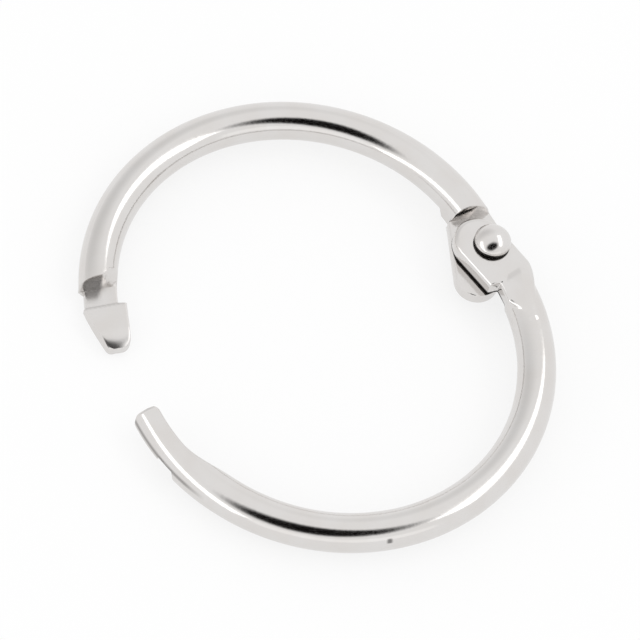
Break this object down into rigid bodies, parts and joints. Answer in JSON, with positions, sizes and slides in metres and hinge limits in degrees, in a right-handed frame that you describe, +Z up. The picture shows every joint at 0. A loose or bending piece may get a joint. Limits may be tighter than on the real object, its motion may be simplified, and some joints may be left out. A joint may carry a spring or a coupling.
{
  "type": "binder ring",
  "caption": "Hinged loose-leaf binder ring of round plated steel wire, lying open on its riveted hinge, with a hooked tongue and a catch nose that lap at the mouth.",
  "frame": {"origin": "centre of the open ring's bounding box in X and Y, at the level of its lowest point, the underside of the lower rivet head", "axes": "+Z up along the hinge rivet and square to the ring's plane, +X from the mouth toward the rivet, +Y toward the half that carries the hooked tongue"},
  "size_m": [0.0312, 0.036, 0.0046],
  "materials": {
    "plated_wire": "bright nickel plating over drawn steel wire, mirror-like with faint drawing marks",
    "plated_rivet": "bright nickel plating on a headed rivet, slightly duller than the wire"
  },
  "bodies": {
    "tongue_side": {"tongue_half": "plated_wire", "hinge_rivet": "plated_rivet"},
    "catch_side": {"catch_half": "plated_wire"}
  },
  "joints": [
    {"name": "ring_hinge", "type": "hinge", "parent": "tongue_side", "child": "catch_side", "pos_m": [0.01366, 0, 0.0023], "axis": [0, 0, 1], "range_deg": [-21, 115]}
  ]
}
